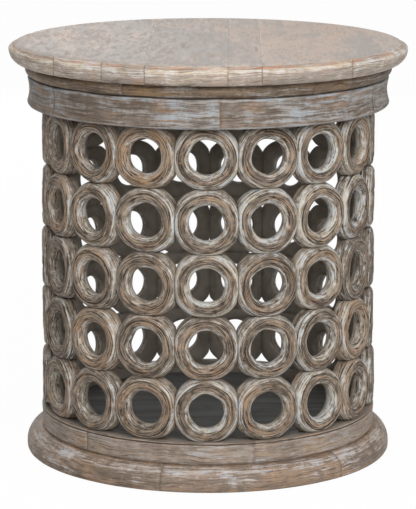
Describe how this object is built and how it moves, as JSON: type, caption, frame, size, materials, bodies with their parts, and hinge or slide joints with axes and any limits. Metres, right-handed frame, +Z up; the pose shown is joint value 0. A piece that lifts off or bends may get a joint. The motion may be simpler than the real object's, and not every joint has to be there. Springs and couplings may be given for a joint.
{
  "type": "round side table",
  "caption": "Round drum side table in limed wood, with a lattice wall of turned rings between a moulded base and a bullnosed board top.",
  "frame": {"origin": "on the floor, at the middle of the round base", "axes": "+Z up, -Y towards the front, +X to the right seen from the front"},
  "size_m": [0.4907, 0.4906, 0.512],
  "materials": {
    "ring_wood": "turned, limed and rubbed back",
    "base_wood": "limed and rubbed back, worn edges",
    "apron_wood": "brown stain with limed streaks",
    "top_wood": "pale limed boards, worn edge",
    "floor_wood": "dark unlimed boards",
    "dowel_wood": "plain wood"
  },
  "bodies": {
    "root": {"ring_column_01": "ring_wood", "ring_column_02": "ring_wood", "ring_column_03": "ring_wood", "ring_column_04": "ring_wood", "ring_column_05": "ring_wood", "ring_column_06": "ring_wood", "ring_column_07": "ring_wood", "ring_column_08": "ring_wood", "ring_column_09": "ring_wood", "ring_column_10": "ring_wood", "ring_column_11": "ring_wood", "ring_column_12": "ring_wood", "ring_column_13": "ring_wood", "ring_column_14": "ring_wood", "ring_column_15": "ring_wood", "ring_column_16": "ring_wood", "ring_column_17": "ring_wood", "foot_segment_1": "base_wood", "foot_segment_2": "base_wood", "foot_segment_3": "base_wood", "foot_segment_4": "base_wood", "foot_segment_5": "base_wood", "foot_segment_6": "base_wood", "plinth_segment_1": "base_wood", "plinth_segment_2": "base_wood", "plinth_segment_3": "base_wood", "plinth_segment_4": "base_wood", "plinth_segment_5": "base_wood", "plinth_segment_6": "base_wood", "apron_segment_1": "apron_wood", "apron_segment_2": "apron_wood", "apron_segment_3": "apron_wood", "apron_segment_4": "apron_wood", "apron_segment_5": "apron_wood", "apron_segment_6": "apron_wood", "bead_segment_1": "apron_wood", "bead_segment_2": "apron_wood", "bead_segment_3": "apron_wood", "bead_segment_4": "apron_wood", "bead_segment_5": "apron_wood", "bead_segment_6": "apron_wood", "top_board_1": "top_wood", "top_board_2": "top_wood", "top_board_3": "top_wood", "top_board_4": "top_wood", "top_board_5": "top_wood", "top_board_6": "top_wood", "top_board_7": "top_wood", "floor_board_1": "floor_wood", "floor_board_2": "floor_wood", "floor_board_3": "floor_wood", "floor_board_4": "floor_wood", "floor_board_5": "floor_wood", "column_dowels": "dowel_wood", "side_dowels": "dowel_wood", "top_tie_dowels": "dowel_wood", "base_tie_dowels": "dowel_wood"}
  },
  "joints": []
}
